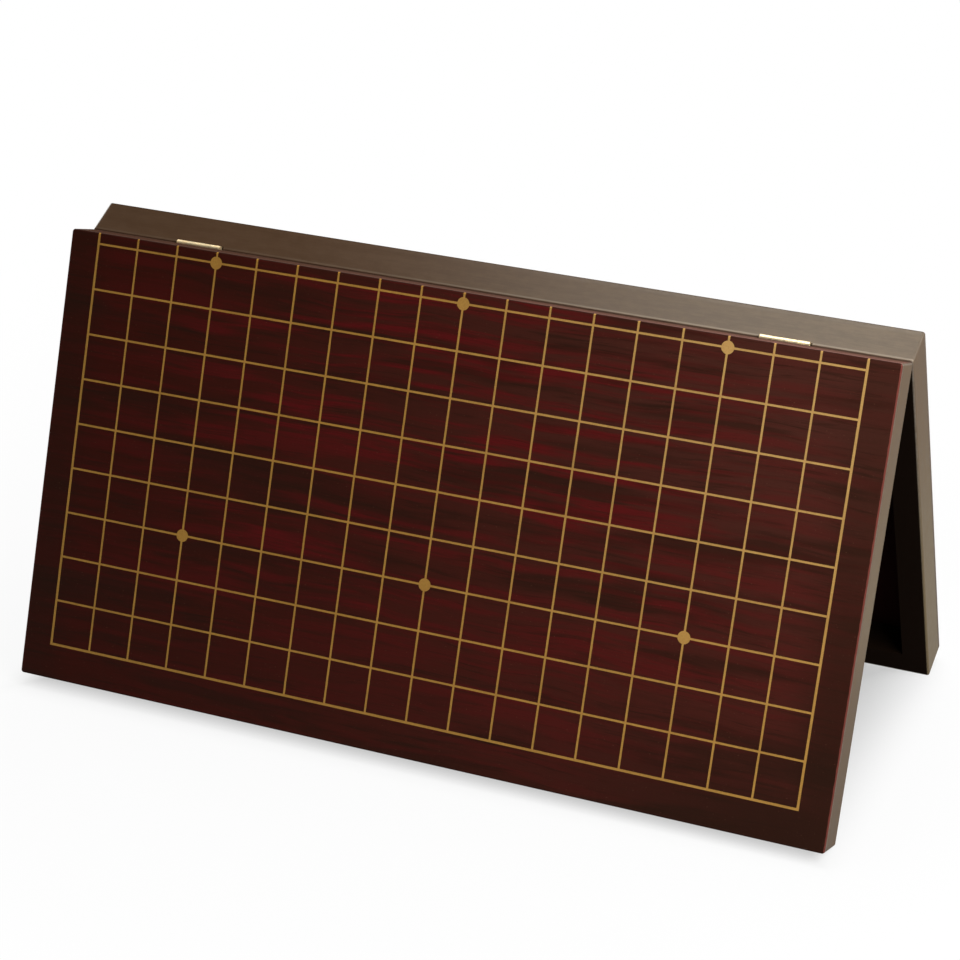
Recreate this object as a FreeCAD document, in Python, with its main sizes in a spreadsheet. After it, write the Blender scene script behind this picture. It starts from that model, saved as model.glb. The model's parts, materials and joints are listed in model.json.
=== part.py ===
import FreeCAD, Part
import math
import os
import Sketcher

# A folding board for the game of go, standing half open like a tent.
#
# Two equal shallow trays are hinged along one long side.  Each tray is four mitred
# rails under a thin play panel, and the panel's outer face carries half of the
# 19 x 19 grid.  Folded shut, the two trays close on each other and hold the stones.
#
# Part frame: +X along the fold, +Z up, origin on the ground under the middle of the
# fold.  The front half leans towards -Y and the back half towards +Y.
#
# Frame of one half, in which all its pieces are drawn: origin on the hinge axis at the
# middle of the fold, +X along the axis, +Y from the axis to the outer edge, and +Z from
# the open rim of the tray to the play face.  The front half is the back half's frame
# turned by half a turn about +Z, so its +X points to the left.

# Driving dimensions: millimetres, degrees, and plain counts.
SIZES = {
    "board_length": 440,
    "half_width": 235,
    "opening_angle": 42.7,
    "fold_gap": 0.3,
    "rail_width": 14,
    "rail_height": 18,
    "panel_thickness": 3,
    "corner_radius": 1.5,
    "panel_edge_radius": 0.8,
    "rim_edge_radius": 1,
    "grid_lines": 19,
    "pitch_along": 22.65,
    "pitch_across": 23.43,
    "tengen_offset": 5.8,
    "line_width": 1.05,
    "border_line_width": 1.25,
    "line_depth": 0.4,
    "line_end_land": 0.2,
    "star_diameter": 6.45,
    "star_steps": 6,
    "hinge_inset": 62.8,
    "hinge_length": 25,
    "barrel_diameter": 3.2,
    "barrel_side_room": 0.3,
    "barrel_end_room": 0.8,
    "knuckle_room": 0.15,
    "pin_diameter": 1.6,
    "pin_running_room": 0.05,
    "leaf_reach": 10,
    "leaf_thickness": 1,
    "leaf_room": 0.1,
    "screw_spacing": 15,
    "screw_reach": 6.2,
    "screw_length": 8,
    "screw_diameter": 2,
    "screw_head_diameter": 3.6,
    "screw_slot_width": 0.5,
    "screw_slot_depth": 0.35,
    "pilot_extra_depth": 0.5,
    "magnet_diameter": 8,
    "magnet_thickness": 2.5,
    "magnet_spacing": 220,
}

HALVES = ("front", "back")
SIDES = ("left", "right")
KNUCKLES_PER_HINGE = 4
QUARTER_TURN = 90
TOLERANCE = 1e-4

document = FreeCAD.newDocument("folding_go_board")
sheet = document.addObject("Spreadsheet::Sheet", "Sizes")
for row, (alias, value) in enumerate(SIZES.items(), start=1):
    sheet.set(f"A{row}", alias.replace("_", " "))
    sheet.set(f"B{row}", str(value))
    sheet.setAlias(f"B{row}", alias)
document.recompute()

# Lengths worked out from the driving dimensions, as expressions.
LEAN = "(Sizes.opening_angle / 2)"
RIM_LEVEL = "(Sizes.fold_gap / 2)"
WALL_START = "(Sizes.fold_gap / 2)"
OUTER_EDGE = f"({WALL_START} + Sizes.half_width)"
PANEL_LEVEL = f"({RIM_LEVEL} + Sizes.rail_height)"
PLAY_LEVEL = f"({PANEL_LEVEL} + Sizes.panel_thickness)"
LINE_LEVEL = f"({PLAY_LEVEL} - Sizes.line_depth)"
HALF_LENGTH = "(Sizes.board_length / 2)"

# The rounded rim edge of each outer rail stands on the ground.
FOOT_CENTRE_Y = f"({OUTER_EDGE} - Sizes.rim_edge_radius)"
FOOT_CENTRE_Z = f"({RIM_LEVEL} + Sizes.rim_edge_radius)"
AXIS_HEIGHT = (
    f"({FOOT_CENTRE_Y} * cos({LEAN}) - {FOOT_CENTRE_Z} * sin({LEAN}) + Sizes.rim_edge_radius)"
)

BARREL_RADIUS = "(Sizes.barrel_diameter / 2)"
PIN_RADIUS = "(Sizes.pin_diameter / 2)"
NOTCH_RADIUS = f"({BARREL_RADIUS} + Sizes.barrel_side_room)"
LEAF_START = NOTCH_RADIUS
LEAF_LEVEL = f"({RIM_LEVEL} + Sizes.leaf_thickness)"
KNUCKLE_STEP = f"(Sizes.hinge_length / {KNUCKLES_PER_HINGE})"
KNUCKLE_LENGTH = f"({KNUCKLE_STEP} - Sizes.knuckle_room)"
HINGE_DISTANCE = f"({HALF_LENGTH} - Sizes.hinge_inset)"
HEAD_DEPTH = "((Sizes.screw_head_diameter - Sizes.screw_diameter) / 2)"


# ---------------------------------------------------------------- expression helpers

def vector(x, y, z):
    return f"create(<<vector>>; {x}; {y}; {z})"


def placement(position, yaw="0", pitch="0", roll="0"):
    turn = f"create(<<rotation>>; {yaw}; {pitch}; {roll})"
    return f"create(<<placement>>; {position}; {turn})"


def bind(target, **expressions):
    for name, expression in expressions.items():
        target.setExpression(name, expression)


def half_place(yaw):
    """Place of one half, turned by yaw about the vertical.

    In the half's own frame X runs along the hinge axis, Y to the outer edge, Z to the play face.
    """
    return placement(vector(0, 0, AXIS_HEIGHT), yaw=str(yaw), roll=f"{LEAN} - {QUARTER_TURN}")


HALF_PLACES = {"front": half_place(2 * QUARTER_TURN), "back": half_place(0)}


def side_sign(half, side):
    """Sign of X, in the frame of one half, of the side that is left or right in the part frame."""
    sign = 1 if side == "right" else -1
    return -sign if half == "front" else sign


# ---------------------------------------------------------------- feature helpers

def new_body(name, half):
    body = document.addObject("PartDesign::Body", name)
    body.Label = name
    bind(body, Placement=HALF_PLACES[half])
    return body


def origin_feature(body, role):
    return next(item for item in body.Origin.OriginFeatures if item.Role == role)


def block(body, kind, name, corner, length, width, height):
    """A box that adds or cuts; corner is its lowest corner."""
    box = body.newObject(f"PartDesign::{kind}Box", name)
    bind(box, Length=length, Width=width, Height=height, Placement=placement(corner))
    return box


def upright_cylinder(body, kind, name, base, radius, height):
    cylinder = body.newObject(f"PartDesign::{kind}Cylinder", name)
    bind(cylinder, Radius=radius, Height=height, Placement=placement(base))
    return cylinder


def axis_cylinder(body, kind, name, start, radius, length):
    """A cylinder along the hinge axis, from x = start towards +X."""
    cylinder = body.newObject(f"PartDesign::{kind}Cylinder", name)
    place = placement(vector(start, 0, 0), pitch=str(QUARTER_TURN))
    bind(cylinder, Radius=radius, Height=length, Placement=place)
    return cylinder


def fillet(body, base, name, edges, radius):
    feature = body.newObject("PartDesign::Fillet", name)
    feature.Base = (base, edges)
    bind(feature, Radius=radius)
    document.recompute()
    return feature


def edge_names(shape, wanted):
    return [f"Edge{number}" for number, edge in enumerate(shape.Edges, start=1) if wanted(edge)]


def is_level(edge, level):
    box = edge.BoundBox
    return abs(box.ZMin - level) < TOLERANCE and abs(box.ZMax - level) < TOLERANCE


def is_upright(edge):
    box = edge.BoundBox
    return box.XLength < TOLERANCE and box.YLength < TOLERANCE


# ---------------------------------------------------------------- play panels and grid

def first_line_place(half):
    """Distance from the hinge axis to the half's first line along the fold."""
    if half == "front":
        return "Sizes.tengen_offset"
    return "(Sizes.pitch_across - Sizes.tengen_offset)"


def grid_forms(half):
    """The lines and star points of one half, as crossing boxes and discs."""
    cross_count = sheet.get("grid_lines")
    half_count = (cross_count - 1) // 2
    # The front half also carries the middle line of the whole board.
    long_count = half_count + 1 if half == "front" else half_count
    first = first_line_place(half)
    last = f"({first} + {long_count - 1} * Sizes.pitch_across)"
    left_border = f"(-{half_count} * Sizes.pitch_along)"
    half_border = "(Sizes.border_line_width / 2)"
    line_start = f"({WALL_START} + Sizes.panel_edge_radius + Sizes.line_end_land)"
    forms = []

    def line(name, corner, length, width):
        box = document.addObject("Part::Box", f"{half}_{name}")
        bind(box, Length=length, Width=width, Height="Sizes.line_depth")
        bind(box, Placement=placement(corner))
        forms.append(box)

    for number in range(cross_count):
        width = "Sizes.border_line_width" if number in (0, cross_count - 1) else "Sizes.line_width"
        place = f"({left_border} + {number} * Sizes.pitch_along)"
        corner = vector(f"{place} - {width} / 2", line_start, LINE_LEVEL)
        line(f"cross_line_{number + 1}", corner, width, f"{last} + {half_border} - {line_start}")
    for number in range(long_count):
        width = "Sizes.border_line_width" if number == long_count - 1 else "Sizes.line_width"
        place = f"({first} + {number} * Sizes.pitch_across)"
        corner = vector(f"{left_border} - {half_border}", f"{place} - {width} / 2", LINE_LEVEL)
        length = f"{cross_count - 1} * Sizes.pitch_along + Sizes.border_line_width"
        line(f"long_line_{number + 1}", corner, length, width)

    middle_line = "Sizes.tengen_offset" if half == "front" else "-Sizes.tengen_offset"
    star_rows = [f"({middle_line} + Sizes.star_steps * Sizes.pitch_across)"]
    if half == "front":
        star_rows.append(middle_line)
    for row_number, place in enumerate(star_rows, start=1):
        for column in (-1, 0, 1):
            star = document.addObject("Part::Cylinder", f"{half}_star_{row_number}_{column + 2}")
            centre = vector(f"{column} * Sizes.star_steps * Sizes.pitch_along", place, LINE_LEVEL)
            bind(star, Radius="Sizes.star_diameter / 2", Height="Sizes.line_depth")
            bind(star, Placement=placement(centre))
            forms.append(star)
    return forms


def make_grid_lines(half):
    """The gold filling of the engraved lines, in one piece and flush with the play face."""
    grid = document.addObject("Part::MultiFuse", f"{half}_grid_lines")
    grid.Label = f"{half}_grid_lines"
    grid.Shapes = grid_forms(half)
    grid.Refine = False
    bind(grid, Placement=HALF_PLACES[half])
    return grid


def make_play_panel(half, grid):
    """A thin rounded panel, engraved with exactly the lines that fill it."""
    body = new_body(f"{half}_panel_blank", half)
    corner = vector(f"-{HALF_LENGTH}", WALL_START, PANEL_LEVEL)
    blank = block(
        body, "Additive", "blank", corner,
        "Sizes.board_length", "Sizes.half_width", "Sizes.panel_thickness",
    )
    document.recompute()
    uprights = edge_names(blank.Shape, is_upright)
    corners = fillet(body, blank, "corner_rounds", uprights, "Sizes.corner_radius")
    top = corners.Shape.BoundBox.ZMax
    rim = edge_names(corners.Shape, lambda edge: is_level(edge, top))
    fillet(body, corners, "edge_rounds", rim, "Sizes.panel_edge_radius")
    panel = document.addObject("Part::Cut", f"{half}_play_panel")
    panel.Label = f"{half}_play_panel"
    panel.Base = body
    panel.Tool = grid
    panel.Refine = False
    return panel


# ---------------------------------------------------------------- rails

def mitred_outline(body, name, place, span):
    """Plan of a rail with both ends cut at 45 degrees and its outer corners rounded.

    Drawn with the outer face on the X axis, centred, and the rail on the -Y side.
    """
    sketch = body.newObject("Sketcher::SketchObject", name)
    sketch.AttachmentSupport = [(origin_feature(body, "XY_Plane"), "")]
    sketch.MapMode = "FlatFace"
    bind(sketch, AttachmentOffset=place)

    half_span = sheet.get(span) / 2
    width = sheet.get("rail_width")
    radius = sheet.get("corner_radius")
    slant = radius * math.cos(math.pi / 4)
    outer_x = half_span - radius
    inner_x = half_span - width
    right_centre = FreeCAD.Vector(outer_x, -radius, 0)
    left_centre = FreeCAD.Vector(-outer_x, -radius, 0)
    right_tip = right_centre + FreeCAD.Vector(slant, slant, 0)
    left_tip = left_centre + FreeCAD.Vector(-slant, slant, 0)
    right_top = FreeCAD.Vector(outer_x, 0, 0)
    left_top = FreeCAD.Vector(-outer_x, 0, 0)
    right_inner = FreeCAD.Vector(inner_x, -width, 0)
    left_inner = FreeCAD.Vector(-inner_x, -width, 0)
    upright = FreeCAD.Vector(0, 0, 1)

    outer = sketch.addGeometry(Part.LineSegment(left_top, right_top))
    right_mitre = sketch.addGeometry(Part.LineSegment(right_tip, right_inner))
    inner = sketch.addGeometry(Part.LineSegment(right_inner, left_inner))
    left_mitre = sketch.addGeometry(Part.LineSegment(left_inner, left_tip))
    right_circle = Part.Circle(right_centre, upright, radius)
    left_circle = Part.Circle(left_centre, upright, radius)
    top_angle = math.pi / 2
    right_arc = sketch.addGeometry(Part.ArcOfCircle(right_circle, math.pi / 4, top_angle))
    left_arc = sketch.addGeometry(Part.ArcOfCircle(left_circle, top_angle, math.pi * 3 / 4))

    start, end, centre = 1, 2, 3
    x_axis, y_axis = -1, -2
    sketch.addConstraint([
        Sketcher.Constraint("Symmetric", outer, start, outer, end, y_axis),
        Sketcher.Constraint("Symmetric", inner, start, inner, end, y_axis),
        Sketcher.Constraint("PointOnObject", outer, start, x_axis),
        Sketcher.Constraint("Tangent", outer, end, right_arc, end),
        Sketcher.Constraint("Tangent", outer, start, left_arc, start),
        Sketcher.Constraint("Coincident", right_arc, start, right_mitre, start),
        Sketcher.Constraint("Coincident", right_mitre, end, inner, start),
        Sketcher.Constraint("Coincident", inner, end, left_mitre, start),
        Sketcher.Constraint("Coincident", left_mitre, end, left_arc, end),
        Sketcher.Constraint("PointOnObject", right_arc, centre, right_mitre),
        Sketcher.Constraint("PointOnObject", left_arc, centre, left_mitre),
        Sketcher.Constraint("Equal", right_arc, left_arc),
    ])
    driven = {
        "corner": (
            Sketcher.Constraint("Radius", right_arc, radius),
            "Sizes.corner_radius",
        ),
        "outer_run": (
            Sketcher.Constraint("DistanceX", outer, start, outer, end, 2 * outer_x),
            f"Sizes.{span} - 2 * Sizes.corner_radius",
        ),
        "inner_run": (
            Sketcher.Constraint("DistanceX", inner, end, inner, start, 2 * inner_x),
            f"Sizes.{span} - 2 * Sizes.rail_width",
        ),
        "depth": (
            Sketcher.Constraint("DistanceY", inner, start, outer, end, width),
            "Sizes.rail_width",
        ),
    }
    for constraint_name, (constraint, expression) in driven.items():
        index = sketch.addConstraint(constraint)
        sketch.renameConstraint(index, constraint_name)
        sketch.setExpression(f"Constraints.{constraint_name}", expression)
    return sketch


def make_rail(name, half, centre_x, centre_y, yaw, span):
    """A mitred rail whose outer face looks along +Y turned by yaw degrees."""
    body = new_body(name, half)
    place = placement(vector(centre_x, centre_y, RIM_LEVEL), yaw=str(yaw))
    outline = mitred_outline(body, "outline", place, span)
    pad = body.newObject("PartDesign::Pad", "rail")
    pad.Profile = outline
    bind(pad, Length="Sizes.rail_height")
    document.recompute()
    rim_level = pad.Shape.BoundBox.ZMin
    outward = FreeCAD.Rotation(FreeCAD.Vector(0, 0, 1), yaw).multVec(FreeCAD.Vector(0, 1, 0))
    outer_reach = max(vertex.Point.dot(outward) for vertex in pad.Shape.Vertexes)
    reach = outer_reach - sheet.get("corner_radius")

    def on_outer_rim(edge):
        return is_level(edge, rim_level) and edge.CenterOfMass.dot(outward) > reach

    rim = edge_names(pad.Shape, on_outer_rim)
    fillet(body, pad, "rim_round", rim, "Sizes.rim_edge_radius")
    return body


def make_end_rail(half, side):
    sign = side_sign(half, side)
    middle = f"({WALL_START} + Sizes.half_width / 2)"
    face = f"{sign} * {HALF_LENGTH}"
    yaw = -sign * QUARTER_TURN
    return make_rail(f"{half}_{side}_end_rail", half, face, middle, yaw, "half_width")


def magnet_form(body, kind):
    """The two closing magnets in the rim of an outer rail, or their pockets."""
    for name, sign in (("first", -1), ("second", 1)):
        centre = vector(
            f"{sign} * Sizes.magnet_spacing / 2",
            f"{OUTER_EDGE} - Sizes.rail_width / 2",
            RIM_LEVEL,
        )
        upright_cylinder(
            body, kind, f"{name}_magnet", centre,
            "Sizes.magnet_diameter / 2", "Sizes.magnet_thickness",
        )


def make_outer_rail(half):
    body = make_rail(f"{half}_outer_rail", half, "0", OUTER_EDGE, 0, "board_length")
    magnet_form(body, "Subtractive")
    return body


def make_closure_magnets(half):
    body = new_body(f"{half}_closure_magnets", half)
    magnet_form(body, "Additive")
    return body


# ---------------------------------------------------------------- hinges

def hinge_centre(half, side):
    return f"({side_sign(half, side)} * {HINGE_DISTANCE})"


def screw_form(body, kind, half, side, extra_depth="0"):
    """The two countersunk screws of one leaf, or the holes that they fill."""
    for name, sign in (("first", -1), ("second", 1)):
        base = vector(
            f"{hinge_centre(half, side)} + {sign} * Sizes.screw_spacing / 2",
            "Sizes.screw_reach",
            RIM_LEVEL,
        )
        upright_cylinder(
            body, kind, f"{name}_{side}_shank", base,
            "Sizes.screw_diameter / 2", f"Sizes.screw_length + {extra_depth}",
        )
        head = body.newObject(f"PartDesign::{kind}Cone", f"{name}_{side}_head")
        bind(
            head,
            Radius1="Sizes.screw_head_diameter / 2",
            Radius2="Sizes.screw_diameter / 2",
            Height=HEAD_DEPTH,
            Placement=placement(base),
        )


def make_hinge_rail(half):
    """The rail at the fold, cut out for the barrels, the leaves and their screws."""
    name = f"{half}_hinge_rail"
    body = make_rail(name, half, "0", WALL_START, 2 * QUARTER_TURN, "board_length")
    for side in SIDES:
        centre = hinge_centre(half, side)
        notch_length = "(Sizes.hinge_length + 2 * Sizes.barrel_end_room)"
        axis_cylinder(
            body, "Subtractive", f"{side}_barrel_notch", f"{centre} - {notch_length} / 2",
            NOTCH_RADIUS, notch_length,
        )
        mortise_length = "(Sizes.hinge_length + 2 * Sizes.leaf_room)"
        block(
            body, "Subtractive", f"{side}_mortise",
            vector(f"{centre} - {mortise_length} / 2", "0", "0"),
            mortise_length, "Sizes.leaf_reach + Sizes.leaf_room", LEAF_LEVEL,
        )
        screw_form(body, "Subtractive", half, side, extra_depth="Sizes.pilot_extra_depth")
    return body


def make_hinge_leaf(half, side):
    """A flat leaf let into the rim, with every other knuckle of the barrel."""
    body = new_body(f"{side}_hinge_{half}_leaf", half)
    centre = hinge_centre(half, side)
    leaf_end = f"({centre} - Sizes.hinge_length / 2)"
    block(
        body, "Additive", "plate", vector(leaf_end, LEAF_START, RIM_LEVEL),
        "Sizes.hinge_length", f"Sizes.leaf_reach - {LEAF_START}", "Sizes.leaf_thickness",
    )
    knuckle_wall = f"(({PIN_RADIUS} + {BARREL_RADIUS}) / 2)"
    for number in range(1, KNUCKLES_PER_HINGE, 2):
        start = f"({leaf_end} + {number} * {KNUCKLE_STEP} + Sizes.knuckle_room / 2)"
        block(
            body, "Additive", f"tongue_{number}", vector(start, knuckle_wall, RIM_LEVEL),
            KNUCKLE_LENGTH, f"{LEAF_START} + Sizes.leaf_thickness - {knuckle_wall}",
            "Sizes.leaf_thickness",
        )
        axis_cylinder(
            body, "Additive", f"knuckle_{number}", start, BARREL_RADIUS, KNUCKLE_LENGTH
        )
    running_room = "0" if half == "front" else "Sizes.pin_running_room"
    axis_cylinder(
        body, "Subtractive", "bore", leaf_end, f"{PIN_RADIUS} + {running_room}",
        "Sizes.hinge_length",
    )
    screw_form(body, "Subtractive", half, side)
    return body


def make_hinge_screws(half, side):
    body = new_body(f"{side}_hinge_{half}_screws", half)
    screw_form(body, "Additive", half, side)
    for name, sign in (("first", -1), ("second", 1)):
        middle = f"({hinge_centre(half, side)} + {sign} * Sizes.screw_spacing / 2)"
        corner = vector(
            f"{middle} - Sizes.screw_head_diameter / 2",
            "Sizes.screw_reach - Sizes.screw_slot_width / 2",
            RIM_LEVEL,
        )
        block(
            body, "Subtractive", f"{name}_slot", corner,
            "Sizes.screw_head_diameter", "Sizes.screw_slot_width", "Sizes.screw_slot_depth",
        )
    return body


def make_hinge_pin(side):
    """The pin is fast in the front leaf's knuckles; the back leaf's turn on it."""
    body = new_body(f"{side}_hinge_pin", "front")
    start = f"{hinge_centre('front', side)} - Sizes.hinge_length / 2"
    axis_cylinder(body, "Additive", "pin", start, PIN_RADIUS, "Sizes.hinge_length")
    return body


# ---------------------------------------------------------------- assembly and export

def make_half(half):
    grid = make_grid_lines(half)
    pieces = [
        grid,
        make_play_panel(half, grid),
        make_hinge_rail(half),
        make_outer_rail(half),
        make_closure_magnets(half),
    ]
    for side in SIDES:
        pieces.append(make_end_rail(half, side))
        pieces.append(make_hinge_leaf(half, side))
        pieces.append(make_hinge_screws(half, side))
    return pieces


def check(pieces):
    """Stop if any object failed, or a piece has no sound shape."""
    for item in document.Objects:
        if "Invalid" in item.State or "Error" in item.State:
            raise RuntimeError(f"{item.Name} failed: {item.State}")
    for piece in pieces:
        if piece.Shape.isNull() or not piece.Shape.isValid():
            raise RuntimeError(f"{piece.Label} has no valid shape")


sub_parts = []
for half_name in HALVES:
    sub_parts += make_half(half_name)
for side_name in SIDES:
    sub_parts.append(make_hinge_pin(side_name))

document.recompute()
check(sub_parts)
os.makedirs("parts", exist_ok=True)
for sub_part in sub_parts:
    sub_part.Shape.exportStep(f"parts/{sub_part.Label}.step")
    box = sub_part.Shape.BoundBox
    print(f"{sub_part.Label}: {len(sub_part.Shape.Solids)} solid(s), {sub_part.Shape.Volume:.1f} mm3,",
          f"z {box.ZMin:.2f} to {box.ZMax:.2f}")
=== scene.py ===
import json
import math

import bpy
from mathutils import Euler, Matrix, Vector


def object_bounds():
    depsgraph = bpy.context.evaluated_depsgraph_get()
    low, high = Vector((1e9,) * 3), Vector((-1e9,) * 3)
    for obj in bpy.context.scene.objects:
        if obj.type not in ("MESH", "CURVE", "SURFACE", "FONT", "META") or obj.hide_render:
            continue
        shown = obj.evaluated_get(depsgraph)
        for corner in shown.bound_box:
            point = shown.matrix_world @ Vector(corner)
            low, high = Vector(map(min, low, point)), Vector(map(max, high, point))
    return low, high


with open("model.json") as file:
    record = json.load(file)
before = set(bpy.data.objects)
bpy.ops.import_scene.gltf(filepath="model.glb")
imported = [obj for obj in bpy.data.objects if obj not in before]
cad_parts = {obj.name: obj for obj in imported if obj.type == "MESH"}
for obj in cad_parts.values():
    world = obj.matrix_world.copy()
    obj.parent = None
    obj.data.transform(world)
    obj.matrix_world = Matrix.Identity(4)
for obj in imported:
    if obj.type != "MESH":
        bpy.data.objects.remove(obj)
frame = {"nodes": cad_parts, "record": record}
cad_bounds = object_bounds()

MM = 0.001
HALVES = ("front", "back")
SIDES = ("left", "right")


def color(red, green, blue):
    return (red, green, blue, 1.0)


# ---------------------------------------------------------------- camera, floor and light

# The camera looks at AIM from this direction and distance.
AIM = Vector((-0.0072, -0.0156, 0.08855))
AZIMUTH = math.radians(23.58)
ELEVATION = math.radians(28.15)
ROLL = math.radians(-0.553)
DISTANCE = 1.471
LENS = 107.47
SENSOR_WIDTH = 36.0
SHIFT_X = 0.0239
SHIFT_Y = 0.0567

# The floor's own shading shows through plain white, most under the object and not at all
# SHADOW_END outside its box. Distances inside the box are negative.
FLOOR = color(0.56, 0.59, 0.635)
FLOOR_ROUGHNESS = 0.9
FLOOR_REACH = 40.0
WHITE = color(1.0, 1.0, 1.0)
WHITE_UNDER, WHITE_BESIDE = 0.10, 0.92
SHADOW_INNER, SHADOW_OUTER, SHADOW_END = -0.04, 0.015, 0.30

# The heights where the white walls start to fade and where they end, 1 being straight up.
WALL_TOP, WALL_END = 0.185, 0.28

WORLD_LEVEL = 0.11
LAMP_TINT = (1.0, 0.95, 0.88)
MIDDLE = Vector((0.0, 0.0, 0.12))
SOFTBOXES = (
    # name, place, size, watts
    ("key", (0.60, -0.25, 0.56), 0.55, 8.4),
    ("top", (-0.01, 0.30, 1.30), 0.75, 11.5),
    ("back", (-0.40, 1.40, 0.50), 0.80, 9.0),
    ("left", (-1.10, 0.40, 0.60), 0.60, 5.0),
)

# ---------------------------------------------------------------- colours

# Veneer of the play faces, lighter and less red to the right and darker again towards the foot
# there as painted light, the edges around it, and the laminate below the panels, near black as
# painted shade.
ROSE_LEFT = color(0.0345, 0.0054, 0.0030)
ROSE_RIGHT = color(0.0460, 0.0140, 0.0100)
ROSE_FOOT = color(0.0470, 0.0102, 0.0072)
ROSE_CHERRY = color(0.0760, 0.0058, 0.0062)
ROSE_DARK = color(0.0165, 0.0066, 0.0036)
ROSE_FLECK = color(0.1200, 0.0550, 0.0350)
EDGE_RED = color(0.1050, 0.0270, 0.0210)
EDGE_DARK = color(0.0260, 0.0090, 0.0060)
LAMINATE_IN_PAINTED_SHADE = color(0.0080, 0.0012, 0.0010)

# Sides of the play panels. The front lip grows lighter to the right as a painted highlight.
PANEL_SIDE = color(0.0790, 0.0490, 0.0240)
PANEL_SIDE_DARK = color(0.0640, 0.0395, 0.0190)
FRONT_LIP_LEFT = color(0.0600, 0.0330, 0.0250)
FRONT_LIP_RIGHT = color(0.1700, 0.0880, 0.0800)

# Walls at the fold. The band grows lighter to the right as painted sheen, the front wall as a
# painted reflection. The groove colour is painted shade, the rim colour a painted highlight.
STAIN = color(0.0520, 0.0270, 0.0120)
STAIN_DARK = color(0.0440, 0.0220, 0.0092)
STAIN_PAINTED_SHEEN = color(0.1080, 0.0880, 0.0650)
STAIN_PAINTED_SHEEN_DARK = color(0.0780, 0.0620, 0.0450)
FRONT_WALL_LEFT = color(0.0580, 0.0290, 0.0210)
FRONT_WALL_RIGHT = color(0.1280, 0.0670, 0.0560)
GROOVE_PAINTED_SHADE = color(0.0560, 0.0300, 0.0220)
RIM_PAINTED_HIGHLIGHT = color(0.3800, 0.3250, 0.2650)

# End faces and feet, lighter in places as painted light. Wear on edges and corners, the corners
# also lighter as painted sheen. Near-black painted shade on the rims and inside.
END_STAIN = color(0.0880, 0.0570, 0.0315)
END_STAIN_DARK = color(0.0710, 0.0460, 0.0250)
END_PAINTED_LIGHT = color(0.1280, 0.0980, 0.0570)
STAIN_WORN_AND_SHEEN = color(0.1180, 0.1000, 0.0840)
INSIDE_PAINTED_SHADE = color(0.0060, 0.0032, 0.0018)

GOLD = color(0.350, 0.190, 0.037)
GOLD_THIN = color(0.285, 0.150, 0.028)
# Gold towards the upper right, lighter as painted sheen.
GOLD_RIGHT = color(0.385, 0.238, 0.080)
GOLD_THIN_RIGHT = color(0.318, 0.192, 0.063)
BRASS = color(0.95, 0.82, 0.55)
BRASS_DULL = color(0.84, 0.66, 0.38)
NICKEL = color(0.72, 0.71, 0.70)
NICKEL_DARK = color(0.55, 0.55, 0.57)

# ---------------------------------------------------------------- where one look meets another

# Ranges of depth in from the outline of a half.
INSIDE_DEPTH = (0.85 * MM, 1.25 * MM)
CORNER_DEPTH = (0.5 * MM, 1.5 * MM)
DARK_EDGE_DEPTH = (0.25 * MM, 0.70 * MM)
LIP_DEPTH = (0.4 * MM, 0.8 * MM)
COAT_DEPTH = (0.05 * MM, 0.20 * MM)
FOLD_SIDE_DEPTH = (0.10 * MM, 0.60 * MM)

# The red edge reaches this deep in from an end, with a soft border.
RED_EDGE_DEPTH = 0.85 * MM
RED_EDGE_BORDER = 0.25 * MM

# Ranges of depth below the play face, and of height above the panel's underside.
ROUNDING_DEPTH = (0.48 * MM, 0.80 * MM)
LIP_MATT_DEPTH = {"front": (3.0 * MM, 3.2 * MM), "back": (0.8 * MM, 1.0 * MM)}
LAMINATE_HEIGHT = (0.05 * MM, 0.15 * MM)

# Ranges of height above the rim of a half, and for the groove above the hinge axis.
WORN_RIM_HEIGHT = (0.2 * MM, 0.8 * MM)
DARK_RIM_HEIGHT = (0.35 * MM, 0.85 * MM)
RIM_LINE_START = (0.55 * MM, 0.95 * MM)
RIM_LINE_END = (1.4 * MM, 2.2 * MM)
GROOVE_HEIGHT = (2.0 * MM, 9.0 * MM)

# Ranges along the fold, positive to the right, over which a surface grows lighter as painted
# light.
BAND_PALING = (-0.12, 0.20)
RIM_LINE_PALING = (-0.16, 0.20)
FRONT_PALING = (-0.20, 0.20)
GOLD_PALING = (-0.08, 0.18)

# Ranges of distance from the fold over which an end face grows lighter as painted light, and
# darkens again.
FRONT_END_PALING, FRONT_END_DARKENING = (0.0, 0.13), (0.12, 0.17)
BACK_END_PALING = (0.0, 0.20)

# Ranges on a play face: across runs along the fold, and down runs from the fold to the foot.
# Range down the face over which the right of the veneer darkens as painted shade.
FOOT_TINT_DOWN = (0.03, 0.19)
CHERRY_ACROSS, CHERRY_DOWN = (0.07, 0.21), (0.13, 0.23)
RIGHT_BORDER_ACROSS, RIGHT_BORDER_DOWN = (0.185, 0.213), (0.0, 0.22)
FOOT_BORDER_ACROSS, FOOT_BORDER_DOWN = (0.03, 0.21), (0.195, 0.222)
LEFT_BORDER_ACROSS = (-0.212, -0.190)

# Range of height above the floor over which the gold's painted sheen sets in.
GOLD_PALING_HEIGHT = (0.03, 0.20)

# How strong the lighter corners, from wear and painted sheen, and the painted sheen of the band
# are at most.
CORNER_WEAR_AND_SHEEN = 0.75
BAND_PALING_MOST = 0.77

# Sheen: specular level, roughness, and the coat on a panel's long sides.
FOLD_GLOSS = {"front": 0.0, "back": 0.15}
FOLD_ROUGHNESS = {"front": 0.36, "back": 0.33}
SIDE_COAT = {"front": 0.02, "back": 0.30}
RAIL_GLOSS, RAIL_ROUGHNESS = 0.02, 0.34
FACE_GLOSS = 0.04
GOLD_GLOSS = 0.20
MATT = 0.95

# Bumps: distance and strength.
GRAIN_BUMP = (0.02 * MM, 0.40)
PORE_BUMP = (0.02 * MM, 0.35)
PAINT_BUMP = (0.01 * MM, 0.30)
BRUSHED_BUMP = (0.005 * MM, 0.25)

# ---------------------------------------------------------------- grain

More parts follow.
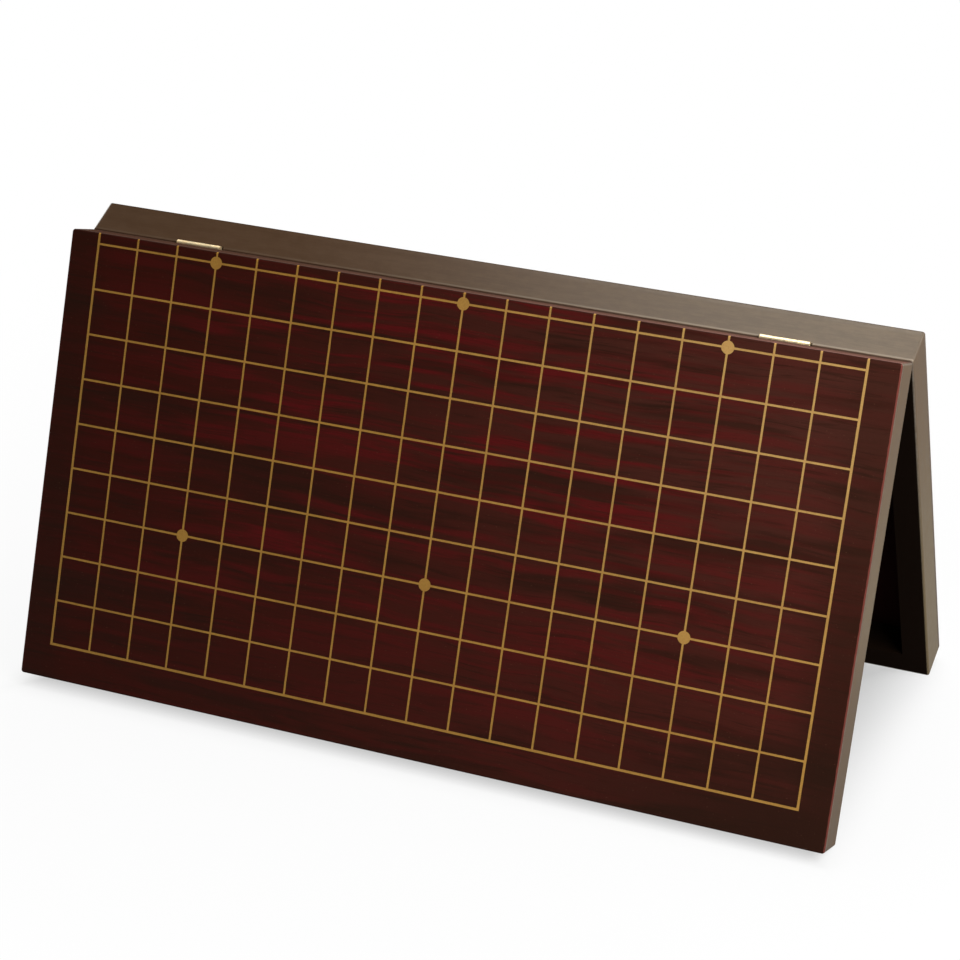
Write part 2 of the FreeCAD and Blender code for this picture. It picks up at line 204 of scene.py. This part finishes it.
# Sizes of the noise cells, in millimetres: along the grain, across it and into the wood.
WOOD_GRAIN_CELL = (90.0, 6.0, 6.0)
WOOD_FINE_CELL = (12.0, 0.8, 0.8)
WOOD_MOTTLE_CELL = (9.0, 5.0, 5.0)
RIM_SCUFF_CELL = (6.0, 3.0, 3.0)
EDGE_WEAR_CELL = (4.0, 4.0, 4.0)
FLECK_CELL = (0.7, 0.7, 0.7)
PAINT_SPECKLE_CELL = (0.7, 0.7, 0.7)
PAINT_COVER_CELL = (20.0, 20.0, 20.0)
BRUSHED_CELL = (0.8, 0.8, 0.8)
TARNISH_CELL = (3.0, 3.0, 3.0)
NICKEL_SCUFF_CELL = (1.2, 1.2, 1.2)

GRAIN_BENDS = (
    # cell, detail, full swing of the bend in metres
    ((200.0, 120.0, 120.0), 1.5, 16.0 * MM),
    ((45.0, 30.0, 30.0), 1.0, 3.5 * MM),
)
VEINS = {
    # name: cell, detail, roughness
    "broad": ((200.0, 50.0, 50.0), 2.0, 0.50),
    "red": ((85.0, 4.6, 4.6), 3.0, 0.60),
    "gloom": ((130.0, 12.0, 12.0), 3.0, 0.60),
    "streak": ((40.0, 2.0, 2.0), 3.0, 0.65),
    "hair": ((22.0, 0.6, 0.6), 2.0, 0.60),
    "pores": ((5.0, 0.35, 0.35), 1.0, 0.50),
}
DARK_VEINS = {
    # name: noise at which the vein starts and is darkest, and how dark it is there
    "gloom": (0.49, 0.64, 0.60),
    "streak": (0.50, 0.72, 0.65),
    "hair": (0.50, 0.75, 0.25),
    "pores": (0.62, 0.74, 0.40),
}

# ---------------------------------------------------------------- sizes from the frame

fold = next(joint for joint in frame["record"]["behaviour"]["joints"] if joint["name"] == "fold")
AXIS = Vector(fold["pos_m"])

# Each half leans this far from upright, and the front half is the back half turned about.
LEAN = math.radians(-fold["range_deg"][0]) / 2
HALF_TURN = {"front": math.pi, "back": 0.0}


def half_rotation(half):
    """Rotation from the half's own frame to the part's frame.

    The half's own frame starts on the hinge axis, with X along the fold, Y from the fold to the
    foot and Z from the rim to the play face.
    """
    return Euler((LEAN - math.pi / 2, 0.0, HALF_TURN[half]), "XYZ")


def half_reach(half, node):
    """Lowest and highest corner of a node of one half, in the half's own frame."""
    matrix = half_rotation(half).to_matrix().inverted()
    points = [matrix @ (vertex.co - AXIS) for vertex in frame["nodes"][node].data.vertices]
    low = Vector([min(point[axis] for point in points) for axis in range(3)])
    high = Vector([max(point[axis] for point in points) for axis in range(3)])
    return low, high


PANEL_LOW, PANEL_HIGH = half_reach("back", "back_play_panel")
GRID_LOW, GRID_HIGH = half_reach("back", "back_grid_lines")
RIM = half_reach("back", "back_outer_rail")[0].z

# The cross lines, which the solids end short of the fold. The panel's material takes them on.
LINES_BESIDE_MIDDLE = 9
LINE_HALF_WIDTH = 0.525 * MM
BORDER_HALF_WIDTH = 0.625 * MM
PITCH_ALONG = (GRID_HIGH.x - BORDER_HALF_WIDTH) / LINES_BESIDE_MIDDLE
GRID_REACH = (LINES_BESIDE_MIDDLE + 0.5) * PITCH_ALONG
LINE_START = GRID_LOW.y - PANEL_LOW.y
LINE_OVERLAP = 0.05 * MM
LINE_DROP = 0.45 * MM


# ---------------------------------------------------------------- node helpers

class Nodes:
    """Short calls for the nodes of one tree."""

    def __init__(self, tree):
        self.tree = tree

    def put(self, value, socket):
        """Link a node's output to an input, or set the input to a plain value."""
        if isinstance(value, bpy.types.NodeSocket):
            self.tree.links.new(value, socket)
        else:
            socket.default_value = value

    def make(self, kind, *inputs):
        """A new node with its first inputs filled in."""
        node = self.tree.nodes.new(kind)
        for value, socket in zip(inputs, node.inputs):
            self.put(value, socket)
        return node

    def math(self, operation, first, second=0.0):
        node = self.make("ShaderNodeMath", first, second)
        node.operation = operation
        return node.outputs[0]

    def chain(self, operation, *values):
        """One operation over two or more values."""
        result = values[0]
        for value in values[1:]:
            result = self.math(operation, result, value)
        return result

    def ramp(self, value, low, high, to_low=0.0, to_high=1.0):
        """Value taken smoothly from low..high to to_low..to_high."""
        node = self.make("ShaderNodeMapRange", value, low, high, to_low, to_high)
        node.interpolation_type = "SMOOTHSTEP"
        return node.outputs[0]

    def parts(self, vector):
        return self.make("ShaderNodeSeparateXYZ", vector).outputs[:3]

    def coordinates(self, name):
        return self.make("ShaderNodeTexCoord").outputs[name]

    def seen_directly(self):
        """1 for rays from the camera, by way of a gloss or through glass, and 0 for lighting."""
        rays = self.make("ShaderNodeLightPath").outputs
        return self.chain("MAXIMUM", rays["Is Camera Ray"], rays["Is Glossy Ray"],
                          rays["Is Transmission Ray"])

    def mixed_shader(self, factor, first, second):
        return self.make("ShaderNodeMixShader", factor, first, second).outputs[0]


class Shader(Nodes):
    """A node material."""

    def __init__(self, name):
        self.material = bpy.data.materials.new(name)
        self.material.use_nodes = True
        super().__init__(self.material.node_tree)
        self.bsdf = self.tree.nodes["Principled BSDF"]

    def mix(self, factor, first, second):
        """Colour between two colours."""
        node = self.tree.nodes.new("ShaderNodeMix")
        node.data_type = "RGBA"
        self.put(factor, node.inputs[0])
        self.put(first, node.inputs[6])
        self.put(second, node.inputs[7])
        return node.outputs[2]

    def noise(self, place, cell_mm, detail, roughness=0.5):
        """Noise with cells of the given size in millimetres."""
        cells = self.make("ShaderNodeVectorMath", place, Vector(cell_mm) * MM)
        cells.operation = "DIVIDE"
        node = self.tree.nodes.new("ShaderNodeTexNoise")
        self.put(cells.outputs[0], node.inputs["Vector"])
        node.inputs["Scale"].default_value = 1.0
        node.inputs["Detail"].default_value = detail
        node.inputs["Roughness"].default_value = roughness
        return node.outputs[0]

    def place(self, half):
        """Position in the half's own frame, in metres."""
        mapping = self.tree.nodes.new("ShaderNodeMapping")
        mapping.vector_type = "TEXTURE"
        mapping.inputs["Location"].default_value = AXIS
        mapping.inputs["Rotation"].default_value = half_rotation(half)
        self.put(self.coordinates("Object"), mapping.inputs["Vector"])
        return mapping.outputs[0]

    def bump(self, height, distance, strength):
        node = self.tree.nodes.new("ShaderNodeBump")
        node.inputs["Distance"].default_value = distance
        node.inputs["Strength"].default_value = strength
        self.put(height, node.inputs["Height"])
        self.put(node.outputs[0], self.bsdf.inputs["Normal"])

    def finish(self, base, roughness, **others):
        """The material, with the others put into the shader's sockets of the same names."""
        self.put(base, self.bsdf.inputs["Base Color"])
        self.put(roughness, self.bsdf.inputs["Roughness"])
        for name, value in others.items():
            socket = name.replace("_", " ").title().replace("Ior", "IOR")
            self.put(value, self.bsdf.inputs[socket])
        return self.material


# ---------------------------------------------------------------- where a point lies

def rightwards(shader, place, half):
    """Distance along the fold, positive to the right of someone who faces the front half."""
    x = shader.parts(place)[0]
    return shader.math("MULTIPLY", x, -1.0) if half == "front" else x


def outline_gaps(shader, place):
    """How far a point lies inside the nearer end and inside the nearer long side."""
    x, y, _ = shader.parts(place)
    ends = shader.math("SUBTRACT", PANEL_HIGH.x, shader.math("ABSOLUTE", x))
    fold_side = shader.math("SUBTRACT", y, PANEL_LOW.y)
    outer_side = shader.math("SUBTRACT", PANEL_HIGH.y, y)
    return ends, shader.math("MINIMUM", fold_side, outer_side)


def fold_gap(shader, place):
    """How far a point lies inside the side at the fold."""
    return shader.math("SUBTRACT", shader.parts(place)[1], PANEL_LOW.y)


def rim_height(shader, place):
    """How high a point lies above the rim, towards the play face."""
    return shader.math("SUBTRACT", shader.parts(place)[2], RIM)


def corner_sheen_and_wear(shader, place):
    """Lighter rounded upright corners of the board, from wear and painted sheen, 0 elsewhere."""
    nearest = shader.chain("MAXIMUM", *outline_gaps(shader, place))
    return shader.ramp(nearest, *CORNER_DEPTH, CORNER_WEAR_AND_SHEEN, 0.0)


def line_ends(shader, place):
    """1 where a cross line runs on over the rounded edge at the fold, 0 elsewhere."""
    x, _, z = shader.parts(place)
    from_line = shader.math("PINGPONG", x, PITCH_ALONG / 2)
    return shader.chain(
        "MULTIPLY",
        shader.math("LESS_THAN", from_line, LINE_HALF_WIDTH),
        shader.math("LESS_THAN", shader.math("ABSOLUTE", x), GRID_REACH),
        shader.math("LESS_THAN", fold_gap(shader, place), LINE_START + LINE_OVERLAP),
        shader.math("GREATER_THAN", z, PANEL_HIGH.z - LINE_DROP),
    )


# ---------------------------------------------------------------- stained wood, with painted sheen and shade

def turned(cell):
    """A cell with its grain along Y instead of X."""
    along, across, deep = cell
    return across, along, deep


def wood_tone(shader, place, along_fold):
    """Tone of stained wood: a soft grain along the rail, a fine grain and a mottle."""
    grain_cell, fine_cell = WOOD_GRAIN_CELL, WOOD_FINE_CELL
    if not along_fold:
        grain_cell, fine_cell = turned(grain_cell), turned(fine_cell)
    return shader.chain(
        "ADD",
        shader.math("MULTIPLY", shader.noise(place, grain_cell, 4.0, 0.6), 0.35),
        shader.math("MULTIPLY", shader.noise(place, fine_cell, 2.0, 0.6), 0.25),
        shader.math("MULTIPLY", shader.noise(place, WOOD_MOTTLE_CELL, 4.0, 0.7), 0.40),
    )


def stained(shader, tone, dark, light):
    """Colour of stained wood at a tone."""
    return shader.mix(shader.ramp(tone, 0.38, 0.62), dark, light)


def front_fold_stain_and_light(shader, place):
    """Reddish stain, lighter to the right as a painted reflection, darker in the groove as
    painted shade.
    """
    pale = shader.ramp(rightwards(shader, place, "front"), *FRONT_PALING)
    light = shader.mix(pale, FRONT_WALL_LEFT, FRONT_WALL_RIGHT)
    dark = shader.mix(0.30, light, STAIN_DARK)
    tone = wood_tone(shader, place, along_fold=True)
    # Painted shade down in the groove by the hinge axis.
    deep = shader.ramp(shader.parts(place)[2], *GROOVE_HEIGHT, 1.0, 0.0)
    return shader.mix(deep, stained(shader, tone, dark, light), GROOVE_PAINTED_SHADE), tone


def back_fold_stain_and_sheen(shader, place):
    """Brown stain, lighter towards the right end as painted sheen."""
    tone = wood_tone(shader, place, along_fold=True)
    # Painted sheen: the stain grows lighter to the right.
    pale = shader.ramp(rightwards(shader, place, "back"), *BAND_PALING, 0.0, BAND_PALING_MOST)
    return shader.mix(pale, stained(shader, tone, STAIN_DARK, STAIN),
                      stained(shader, tone, STAIN_PAINTED_SHEEN_DARK, STAIN_PAINTED_SHEEN)), tone


def front_fold_wall(shader, place):
    """The front half's wall at the fold, with corners lighter from wear and painted sheen."""
    stain, tone = front_fold_stain_and_light(shader, place)
    return shader.mix(corner_sheen_and_wear(shader, place), stain, STAIN_WORN_AND_SHEEN), tone


def back_fold_wall(shader, place):
    """The band in view: wear and painted sheen on its corners, a painted highlight line above
    its rim, painted shade on the rim.
    """
    stain, tone = back_fold_stain_and_sheen(shader, place)
    height = rim_height(shader, place)
    # A painted highlight line on the rounding above the rim, stronger to the right.
    bright = shader.chain(
        "MULTIPLY",
        shader.ramp(height, *RIM_LINE_START),
        shader.ramp(height, *RIM_LINE_END, 1.0, 0.0),
        shader.ramp(rightwards(shader, place, "back"), *RIM_LINE_PALING, 0.04, 0.26),
    )
    wall = shader.mix(corner_sheen_and_wear(shader, place), stain, STAIN_WORN_AND_SHEEN)
    wall = shader.mix(bright, wall, RIM_PAINTED_HIGHLIGHT)
    # Painted shade on the band's rim in the valley of the fold.
    return shader.mix(shader.ramp(height, *DARK_RIM_HEIGHT, 0.6, 0.0), wall, GROOVE_PAINTED_SHADE), tone


def rimmed_wall(shader, place, along_fold):
    """A wall with corners lighter from wear and painted sheen, and a rim with patches of wear.
    """
    tone = wood_tone(shader, place, along_fold)
    scuff = shader.noise(place, RIM_SCUFF_CELL, 3.0)
    worn_rim = shader.math(
        "MULTIPLY",
        shader.ramp(rim_height(shader, place), *WORN_RIM_HEIGHT, 1.0, 0.0),
        shader.ramp(scuff, 0.30, 0.60, 0.55, 1.0),
    )
    wear_and_sheen = shader.math("MAXIMUM", worn_rim, corner_sheen_and_wear(shader, place))
    return shader.mix(wear_and_sheen, stained(shader, tone, END_STAIN_DARK, END_STAIN), STAIN_WORN_AND_SHEEN), tone


def foot_wall(shader, place):
    return rimmed_wall(shader, place, along_fold=True)


def front_end_wall(shader, place):
    """The front half's end, lightest in its middle as painted light."""
    wall, tone = rimmed_wall(shader, place, along_fold=False)
    down = shader.parts(place)[1]
    paler = shader.math("MULTIPLY", shader.ramp(down, *FRONT_END_PALING),
                        shader.ramp(down, *FRONT_END_DARKENING, 0.45, 0.0))
    return shader.mix(paler, wall, END_PAINTED_LIGHT), tone


def back_end_wall(shader, place):
    """The back half's end, lightest at its foot as painted light."""
    wall, tone = rimmed_wall(shader, place, along_fold=False)
    paler = shader.ramp(shader.parts(place)[1], *BACK_END_PALING)
    return shader.mix(paler, wall, END_PAINTED_LIGHT), tone


FOLD_WALL = {"front": front_fold_wall, "back": back_fold_wall}
END_WALL = {"front": front_end_wall, "back": back_end_wall}


def rail_material(name, half, wall, gloss, roughness):
    """A rail with a stained wall outside, and near-black painted shade on its rim and inside."""
    shader = Shader(f"{half}_{name}_stain")
    place = shader.place(half)
    outside, tone = wall(shader, place)
    inside = shader.ramp(shader.chain("MINIMUM", *outline_gaps(shader, place)), *INSIDE_DEPTH)
    shader.bump(tone, *GRAIN_BUMP)
    sheen = shader.ramp(tone, 0.35, 0.65, roughness, roughness + 0.08)
    # Near-black painted shade on the rim and inside.
    return shader.finish(shader.mix(inside, outside, INSIDE_PAINTED_SHADE),
                         shader.math("MAXIMUM", sheen, shader.math("MULTIPLY", inside, MATT)),
                         specular_ior_level=gloss)


# ---------------------------------------------------------------- play panels

def bent_grain(shader, place):
    """Position with the grain lines bent a little, as in a sliced veneer."""
    x, y, z = shader.parts(place)
    for cell, detail, swing in GRAIN_BENDS:
        sway = shader.math("SUBTRACT", shader.noise(place, cell, detail), 0.5)
        y = shader.math("ADD", y, shader.math("MULTIPLY", sway, swing))
    return shader.make("ShaderNodeCombineXYZ", x, y, z).outputs[0]


def border_shade(shader, across, down):
    """How much darker the veneer is around the grid, at the right, the foot and the left."""
    return shader.chain(
        "MAXIMUM",
        shader.math("MULTIPLY", shader.ramp(across, *RIGHT_BORDER_ACROSS),
                    shader.ramp(down, *RIGHT_BORDER_DOWN, 0.28, 0.75)),
        shader.math("MULTIPLY", shader.ramp(down, *FOOT_BORDER_DOWN),
                    shader.ramp(across, *FOOT_BORDER_ACROSS, 0.0, 0.85)),
        shader.ramp(across, *LEFT_BORDER_ACROSS, 0.40, 0.0),
    )


def rosewood(shader, place, half):
    """Dark rosewood veneer: soft cherry and dark bands, fine dark streaks and short pores."""
    bent = bent_grain(shader, place)
    veins = {name: shader.noise(bent, *grain) for name, grain in VEINS.items()}
    fleck = shader.noise(place, FLECK_CELL, 0.0)
    across = rightwards(shader, place, half)
    down = shader.parts(place)[1]
    # Lighter and less red to the right, darker towards the foot there: painted light.
    at_right = shader.mix(shader.ramp(down, *FOOT_TINT_DOWN), ROSE_RIGHT, ROSE_FOOT)
    body = shader.mix(shader.ramp(across, -PANEL_HIGH.x, PANEL_HIGH.x), ROSE_LEFT, at_right)
    cherry = shader.chain(
        "MULTIPLY",
        shader.ramp(veins["red"], 0.425, 0.62),
        shader.ramp(veins["broad"], 0.34, 0.56, 0.40, 1.00),
        shader.ramp(shader.math("ABSOLUTE", across), *CHERRY_ACROSS, 1.0, 0.30),
        shader.ramp(down, *CHERRY_DOWN, 1.0, 0.35),
    )
    body = shader.mix(cherry, body, ROSE_CHERRY)
    for name, (start, darkest, strength) in DARK_VEINS.items():
        shade = shader.ramp(veins[name], start, darkest, 0.0, strength)
        body = shader.mix(shade, body, ROSE_DARK)
    body = shader.mix(border_shade(shader, across, down), body, ROSE_DARK)
    body = shader.mix(shader.ramp(fleck, 0.80, 0.86, 0.0, 0.5), body, ROSE_FLECK)
    return body, veins["streak"], veins["pores"]


def panel_top(shader, place, half):
    """Veneer with red end edges, dark long edges, and cross-line ends lighter to the right as
    painted sheen.
    """
    face, streak, pores = rosewood(shader, place, half)
    ends, long_sides = outline_gaps(shader, place)
    wear = shader.noise(place, EDGE_WEAR_CELL, 3.0)
    reach = shader.math("MULTIPLY", RED_EDGE_DEPTH, shader.ramp(wear, 0.25, 0.75, 0.8, 1.1))
    off_end = shader.ramp(shader.math("SUBTRACT", ends, reach), -RED_EDGE_BORDER, 0.0)
    off_side = shader.ramp(long_sides, *DARK_EDGE_DEPTH)
    top = shader.mix(off_end, EDGE_RED, shader.mix(off_side, EDGE_DARK, face))
    # The line ends grow lighter to the right as painted sheen.
    pale = shader.ramp(rightwards(shader, place, half), *GOLD_PALING)
    gold = shader.mix(pale, GOLD, GOLD_RIGHT)
    return shader.mix(line_ends(shader, place), top, gold), streak, pores


def panel_sides(shader, place, half):
    """Stained sides, with wear and painted sheen on the corners, and at the fold a stain of its
    own with painted light.
    """
    if half == "front":
        # Painted highlight on the front lip, lighter to the right.
        pale = shader.ramp(rightwards(shader, place, half), *FRONT_PALING)
        at_fold = shader.mix(pale, FRONT_LIP_LEFT, FRONT_LIP_RIGHT)
    else:
        at_fold, _ = back_fold_stain_and_sheen(shader, place)
    tone = wood_tone(shader, place, along_fold=True)
    sides = shader.mix(shader.ramp(fold_gap(shader, place), *FOLD_SIDE_DEPTH, 1.0, 0.0),
                       stained(shader, tone, PANEL_SIDE_DARK, PANEL_SIDE), at_fold)
    return shader.mix(corner_sheen_and_wear(shader, place), sides, STAIN_WORN_AND_SHEEN)


def play_panel_material(half):
    """Veneer on the play face, stain on the sides, laminate below, near black as painted shade.
    """
    shader = Shader(f"rosewood_{half}")
    place = shader.place(half)
    z = shader.parts(place)[2]
    depth = shader.math("SUBTRACT", PANEL_HIGH.z, z)
    height = shader.math("SUBTRACT", z, PANEL_LOW.z)
    long_sides = outline_gaps(shader, place)[1]
    top, streak, pores = panel_top(shader, place, half)
    on_top = shader.ramp(depth, *ROUNDING_DEPTH, 1.0, 0.0)
    below = shader.math("MULTIPLY", shader.ramp(height, *LAMINATE_HEIGHT, 1.0, 0.0),
                        shader.ramp(long_sides, *INSIDE_DEPTH))
    base = shader.mix(on_top, panel_sides(shader, place, half), top)
    # The underside is near black as painted shade.
    base = shader.mix(below, base, LAMINATE_IN_PAINTED_SHADE)
    shader.bump(shader.math("SUBTRACT", 1.0, pores), *PORE_BUMP)

    near_top = shader.ramp(depth, *LIP_MATT_DEPTH[half], 1.0, 0.0)
    lip = shader.math("MULTIPLY", near_top, shader.ramp(long_sides, *LIP_DEPTH, 1.0, 0.0))
    roughness = shader.chain(
        "MAXIMUM",
        shader.ramp(streak, 0.3, 0.7, 0.30, 0.40),
        below,
        shader.math("MULTIPLY", lip, MATT),
    )
    coat = shader.math("MULTIPLY", shader.ramp(long_sides, *COAT_DEPTH, SIDE_COAT[half], 0.0),
                       shader.math("SUBTRACT", 1.0, near_top))
    return shader.finish(base, roughness, specular_ior_level=FACE_GLOSS,
                         coat_weight=coat, coat_roughness=FOLD_ROUGHNESS[half])


# ---------------------------------------------------------------- paint and metal

def paint_material():
    """Matt gold paint: a fine grain, slow changes of cover, and lighter to the upper right as
    painted sheen.
    """
    shader = Shader("gold_paint")
    place = shader.coordinates("Object")
    speckle = shader.noise(place, PAINT_SPECKLE_CELL, 2.0)
    slow = shader.noise(place, PAINT_COVER_CELL, 2.0)
    cover = shader.math("ADD", shader.math("MULTIPLY", speckle, 0.6),
                        shader.math("MULTIPLY", slow, 0.4))
    x, _, z = shader.parts(place)
    pale = shader.math("MULTIPLY", shader.ramp(x, *GOLD_PALING),
                       shader.ramp(z, *GOLD_PALING_HEIGHT, 0.15, 1.0))
    base = shader.mix(shader.ramp(cover, 0.36, 0.64),
                      shader.mix(pale, GOLD_THIN, GOLD_THIN_RIGHT),
                      shader.mix(pale, GOLD, GOLD_RIGHT))
    shader.bump(speckle, *PAINT_BUMP)
    roughness = shader.ramp(speckle, 0.3, 0.7, 0.42, 0.56)
    return shader.finish(base, roughness, specular_ior_level=GOLD_GLOSS)


def brass_material(name, wear):
    """Pale brass with a satin finish and a few duller stains, which wear makes rougher."""
    shader = Shader(name)
    place = shader.coordinates("Object")
    brushed = shader.noise(place, BRUSHED_CELL, 2.0)
    stain = shader.noise(place, TARNISH_CELL, 3.0)
    shader.bump(brushed, *BRUSHED_BUMP)
    return shader.finish(shader.mix(shader.ramp(stain, 0.45, 0.75), BRASS, BRASS_DULL),
                         shader.ramp(stain, 0.3, 0.7, 0.42, 0.42 + wear), metallic=1.0)


def nickel_material():
    """Bright nickel with faint scuffs."""
    shader = Shader("nickel")
    scuff = shader.noise(shader.coordinates("Object"), NICKEL_SCUFF_CELL, 4.0)
    return shader.finish(shader.mix(scuff, NICKEL_DARK, NICKEL),
                         shader.ramp(scuff, 0.3, 0.7, 0.14, 0.32), metallic=1.0)


# ---------------------------------------------------------------- dressing the CAD nodes

def dress(node, material):
    """Give a CAD node its finish."""
    for slot in frame["nodes"][node].material_slots:
        slot.material = material


def dress_half(half):
    """The play panel and the four rails of one half."""
    fold_stain = rail_material("fold", half, FOLD_WALL[half], FOLD_GLOSS[half],
                               FOLD_ROUGHNESS[half])
    foot_stain = rail_material("foot", half, foot_wall, RAIL_GLOSS, RAIL_ROUGHNESS)
    end_stain = rail_material("end", half, END_WALL[half], RAIL_GLOSS, RAIL_ROUGHNESS)
    dress(f"{half}_play_panel", play_panel_material(half))
    dress(f"{half}_hinge_rail", fold_stain)
    dress(f"{half}_outer_rail", foot_stain)
    for side in SIDES:
        dress(f"{half}_{side}_end_rail", end_stain)


def dress_fittings():
    """The gold lines, the magnets and the hinges."""
    gold_paint = paint_material()
    hinge_brass = brass_material("hinge_brass", 0.12)
    screw_brass = brass_material("screw_brass", 0.20)
    nickel = nickel_material()
    for half in HALVES:
        dress(f"{half}_grid_lines", gold_paint)
        dress(f"{half}_closure_magnets", nickel)
        for side in SIDES:
            dress(f"{side}_hinge_{half}_leaf", hinge_brass)
            dress(f"{side}_hinge_{half}_screws", screw_brass)
    for side in SIDES:
        dress(f"{side}_hinge_pin", screw_brass)


# ---------------------------------------------------------------- studio

def make_floor():
    """White floor that keeps the object's shadow near it and turns pure white further out."""
    mesh = bpy.data.meshes.new("floor")
    corners = [(-FLOOR_REACH, -FLOOR_REACH), (FLOOR_REACH, -FLOOR_REACH),
               (FLOOR_REACH, FLOOR_REACH), (-FLOOR_REACH, FLOOR_REACH)]
    mesh.from_pydata([(x, y, 0.0) for x, y in corners], [], [(0, 1, 2, 3)])
    floor = bpy.data.objects.new("floor", mesh)
    bpy.context.collection.objects.link(floor)
    shader = Shader("floor")
    shader.finish(FLOOR, FLOOR_ROUGHNESS, specular_ior_level=0.0)
    x, y, _ = shader.parts(shader.coordinates("Object"))
    beside = shader.math(
        "MAXIMUM",
        shader.math("SUBTRACT", shader.math("ABSOLUTE", x), cad_bounds[1][0]),
        shader.math("SUBTRACT", shader.math("ABSOLUTE", y), cad_bounds[1][1]),
    )
    near = shader.ramp(beside, SHADOW_INNER, SHADOW_OUTER, WHITE_UNDER, WHITE_BESIDE)
    far = shader.ramp(beside, SHADOW_OUTER, SHADOW_END, 0.0, 1.0 - WHITE_BESIDE)
    white = shader.math("MULTIPLY", shader.seen_directly(), shader.math("ADD", near, far))
    glow = shader.make("ShaderNodeEmission", WHITE, 1.0).outputs[0]
    surface = shader.mixed_shader(white, shader.bsdf.outputs[0], glow)
    shader.put(surface, shader.tree.nodes["Material Output"].inputs["Surface"])
    mesh.materials.append(shader.material)


def make_world():
    """Dim even light for the object, inside white walls as high as a level camera sees."""
    world = bpy.data.worlds.new("studio")
    world.use_nodes = True
    nodes = Nodes(world.node_tree)
    light = world.node_tree.nodes["Background"]
    light.inputs["Color"].default_value = color(*LAMP_TINT)
    light.inputs["Strength"].default_value = WORLD_LEVEL
    white = nodes.make("ShaderNodeBackground", WHITE, 1.0)
    height = nodes.parts(nodes.coordinates("Generated"))[2]
    wall = nodes.ramp(height, WALL_TOP, WALL_END, 1.0, 0.0)
    shown = nodes.math("MULTIPLY", nodes.seen_directly(), wall)
    surface = nodes.mixed_shader(shown, light.outputs[0], white.outputs[0])
    nodes.put(surface, world.node_tree.nodes["World Output"].inputs["Surface"])
    bpy.context.scene.world = world


def make_softbox(name, place, size, watts):
    """Square lamp that faces the middle of the object."""
    light = bpy.data.lights.new(name, "AREA")
    light.shape = "SQUARE"
    light.size = size
    light.energy = watts
    light.color = LAMP_TINT
    softbox = bpy.data.objects.new(name, light)
    softbox.location = place
    softbox.rotation_euler = (MIDDLE - Vector(place)).to_track_quat("-Z", "Y").to_euler()
    softbox.visible_camera = False
    bpy.context.collection.objects.link(softbox)


def make_camera():
    """Camera at the photograph's viewing angle and framing."""
    data = bpy.data.cameras.new("camera")
    data.lens = LENS
    data.sensor_width = SENSOR_WIDTH
    data.shift_x = SHIFT_X
    data.shift_y = SHIFT_Y
    camera = bpy.data.objects.new("camera", data)
    level = math.cos(ELEVATION)
    towards = Vector((
        math.sin(AZIMUTH) * level, -math.cos(AZIMUTH) * level, math.sin(ELEVATION)
    ))
    camera.location = AIM + towards * DISTANCE
    look = Euler((math.pi / 2 - ELEVATION, 0.0, AZIMUTH), "XYZ").to_matrix()
    camera.rotation_euler = (look @ Euler((0.0, 0.0, ROLL), "XYZ").to_matrix()).to_euler()
    bpy.context.collection.objects.link(camera)
    bpy.context.scene.camera = camera


for half in HALVES:
    dress_half(half)
dress_fittings()
make_floor()
make_world()
for name, place, size, watts in SOFTBOXES:
    make_softbox(name, place, size, watts)
make_camera()
bpy.context.scene.view_settings.view_transform = "Standard"
